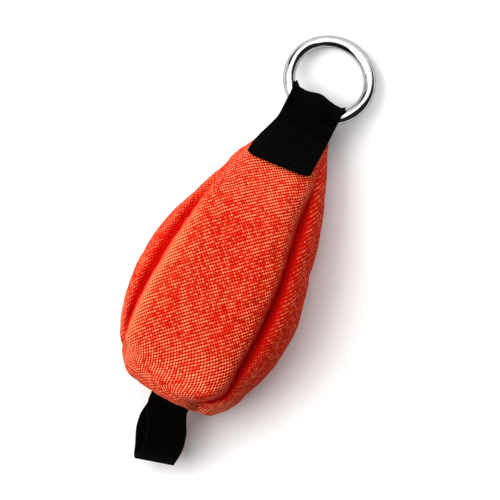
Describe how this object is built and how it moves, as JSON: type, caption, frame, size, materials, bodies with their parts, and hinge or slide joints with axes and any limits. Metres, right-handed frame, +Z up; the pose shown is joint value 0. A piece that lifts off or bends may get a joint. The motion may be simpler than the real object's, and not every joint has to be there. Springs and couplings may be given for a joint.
{
  "type": "training bumper",
  "caption": "Weighted teardrop bag of sewn fabric panels, with a steel ring in a folded webbing tab at its narrow end and a small webbing loop at its wide end.",
  "frame": {"origin": "middle of the object's outline, on the surface it lies on", "axes": "+X across the bag, +Y along it towards the ring, +Z up out of the front panel; the bag lies on its back panel"},
  "size_m": [0.0625, 0.1713, 0.05],
  "materials": {
    "panel_fabric": "matte",
    "black_webbing": "matte",
    "red_thread": "matte",
    "black_thread": "satin",
    "pouch_fabric": "matte",
    "pellets": "matte",
    "ring_steel": "polished"
  },
  "bodies": {
    "bag": {"front_panel": "panel_fabric", "back_panel": "panel_fabric", "left_side_panel": "panel_fabric", "right_side_panel": "panel_fabric", "seam_thread_front_left": "red_thread", "seam_thread_front_right": "red_thread", "seam_thread_back_left": "red_thread", "seam_thread_back_right": "red_thread", "bottom_seam_thread": "red_thread", "neck_seam_thread": "red_thread", "inner_pouch": "pouch_fabric", "pellet_fill": "pellets", "tab_front_ply": "black_webbing", "tab_back_ply": "black_webbing", "tab_needle_thread": "black_thread", "tab_bobbin_thread": "black_thread", "loop_tails": "black_webbing", "loop_bartack": "black_thread"},
    "tab": {"tab_fold": "black_webbing"},
    "ring": {"o_ring": "ring_steel"},
    "loop": {"bottom_loop": "black_webbing"}
  },
  "joints": [
    {"name": "tab_flex", "type": "hinge", "parent": "bag", "child": "tab", "pos_m": [0.00045, 0.05065, 0.0143], "axis": [1, 0, 0], "range_deg": [-40, 40], "stiffness_Nm_per_rad": 0.02},
    {"name": "ring_tilt", "type": "hinge", "parent": "tab", "child": "ring", "pos_m": [0.00065, 0.05725, 0.01179], "axis": [1, 0, 0], "range_deg": [-90, 115]},
    {"name": "loop_flex", "type": "hinge", "parent": "bag", "child": "loop", "pos_m": [0.00185, -0.06235, 0.02], "axis": [-1, 0, 0], "range_deg": [-8, 60], "stiffness_Nm_per_rad": 0.02}
  ]
}
